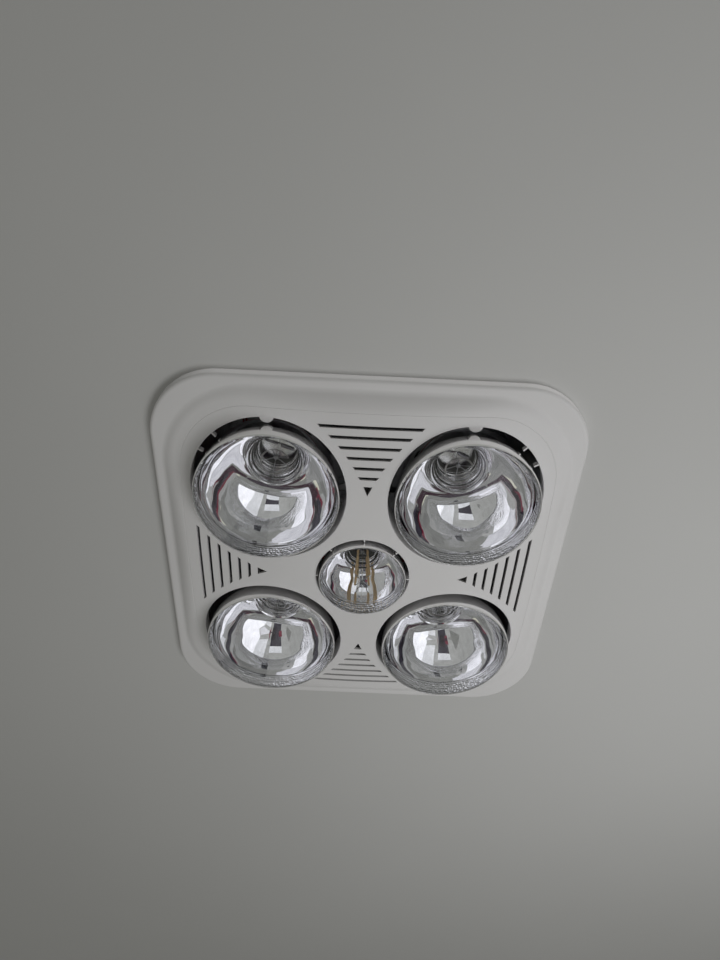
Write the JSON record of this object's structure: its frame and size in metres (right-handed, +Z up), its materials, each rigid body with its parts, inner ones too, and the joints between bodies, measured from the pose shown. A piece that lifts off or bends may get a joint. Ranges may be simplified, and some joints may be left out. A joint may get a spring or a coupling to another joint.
{
  "type": "bathroom heat lamp",
  "caption": "Square ceiling unit with heat lamps round a central light, slotted air grille and a ducted exhaust fan.",
  "frame": {"origin": "middle of the four ceiling screw holes, on the underside of the ceiling", "axes": "+Z up into the ceiling void; the duct outlet leaves along +X; the panel and lamp faces look along -Z"},
  "size_m": [0.4155, 0.373, 0.2657],
  "materials": {
    "panel_plastic": "satin moulded, warm white",
    "galvanised_steel": "zinc coated sheet",
    "motor_steel": "pressed steel",
    "core_steel": "laminated",
    "bright_steel": "bright zinc",
    "copper_wire": "enamelled",
    "brass_parts": "plain",
    "wheel_aluminium": "mill finish",
    "cap_metal": "rolled thread",
    "black_rubber": "matt",
    "black_plastic": "matt",
    "grey_plastic": "matt",
    "ivory_plastic": "matt",
    "red_sleeve": "silicone sleeve",
    "white_sleeve": "silicone sleeve",
    "blue_sleeve": "silicone sleeve",
    "ceramic": null,
    "lamp_glass": "clear hard glass with a mirrored bowl",
    "filament_wire": "tungsten and nickel wire on a glass stem",
    "filament_amber": "phosphor coated sticks on a glass stem"
  },
  "bodies": {
    "housing": {"housing_shell": "galvanised_steel", "holder_brackets": "galvanised_steel", "light_bracket": "galvanised_steel", "fan_scroll": "galvanised_steel", "inlet_ring": "galvanised_steel", "motor_casing": "motor_steel", "motor_end_cap": "motor_steel", "motor_stator": "core_steel", "motor_windings": "copper_wire", "motor_bearings": "bright_steel", "motor_feet": "black_rubber", "run_capacitor": "black_plastic", "thermal_cutout": "black_plastic", "terminal_box": "grey_plastic", "terminal_cover": "grey_plastic", "terminal_block": "ivory_plastic", "cable_gland": "black_plastic", "duct_spigot": "grey_plastic", "flap_seat": "grey_plastic", "flap_pin": "bright_steel", "heater_leads": "red_sleeve", "light_leads": "white_sleeve", "fan_leads": "blue_sleeve", "holder_screws": "bright_steel", "motor_screws": "bright_steel", "body_screws": "bright_steel", "light_holder": "ceramic", "light_holder_contacts": "brass_parts", "holder_near_left": "ceramic", "contacts_near_left": "brass_parts", "holder_near_right": "ceramic", "contacts_near_right": "brass_parts", "holder_far_left": "ceramic", "contacts_far_left": "brass_parts", "holder_far_right": "ceramic", "contacts_far_right": "brass_parts"},
    "fan": {"motor_shaft": "bright_steel", "motor_rotor": "core_steel", "fan_wheel": "wheel_aluminium", "wheel_nut": "brass_parts"},
    "flap": {"damper_flap": "grey_plastic"},
    "panel": {"fascia": "panel_plastic", "fascia_clips": "bright_steel"},
    "light_lamp": {"light_bulb": "lamp_glass", "light_cap": "cap_metal", "light_filaments": "filament_amber"},
    "lamp_near_left": {"bulb_near_left": "lamp_glass", "cap_near_left": "cap_metal", "filament_near_left": "filament_wire"},
    "lamp_near_right": {"bulb_near_right": "lamp_glass", "cap_near_right": "cap_metal", "filament_near_right": "filament_wire"},
    "lamp_far_left": {"bulb_far_left": "lamp_glass", "cap_far_left": "cap_metal", "filament_far_left": "filament_wire"},
    "lamp_far_right": {"bulb_far_right": "lamp_glass", "cap_far_right": "cap_metal", "filament_far_right": "filament_wire"}
  },
  "joints": [
    {"name": "fan_spin", "type": "hinge", "parent": "housing", "child": "fan", "pos_m": [-0.008, 0.022, 0.14], "axis": [0, 0, 1], "continuous": true},
    {"name": "flap_swing", "type": "hinge", "parent": "housing", "child": "flap", "pos_m": [0.205, -0.025, 0.128], "axis": [0, -1, 0], "range_deg": [0, 80]},
    {"name": "panel_drop", "type": "slide", "parent": "housing", "child": "panel", "axis": [0, 0, -1], "range_m": [0, 0.09]},
    {"name": "light_unscrew", "type": "slide", "parent": "housing", "child": "light_lamp", "axis": [0, 0, -1], "range_m": [0, 0.12]},
    {"name": "near_left_unscrew", "type": "slide", "parent": "housing", "child": "lamp_near_left", "axis": [0, 0, -1], "range_m": [0, 0.18]},
    {"name": "near_right_unscrew", "type": "slide", "parent": "housing", "child": "lamp_near_right", "axis": [0, 0, -1], "range_m": [0, 0.18]},
    {"name": "far_left_unscrew", "type": "slide", "parent": "housing", "child": "lamp_far_left", "axis": [0, 0, -1], "range_m": [0, 0.18]},
    {"name": "far_right_unscrew", "type": "slide", "parent": "housing", "child": "lamp_far_right", "axis": [0, 0, -1], "range_m": [0, 0.18]}
  ]
}
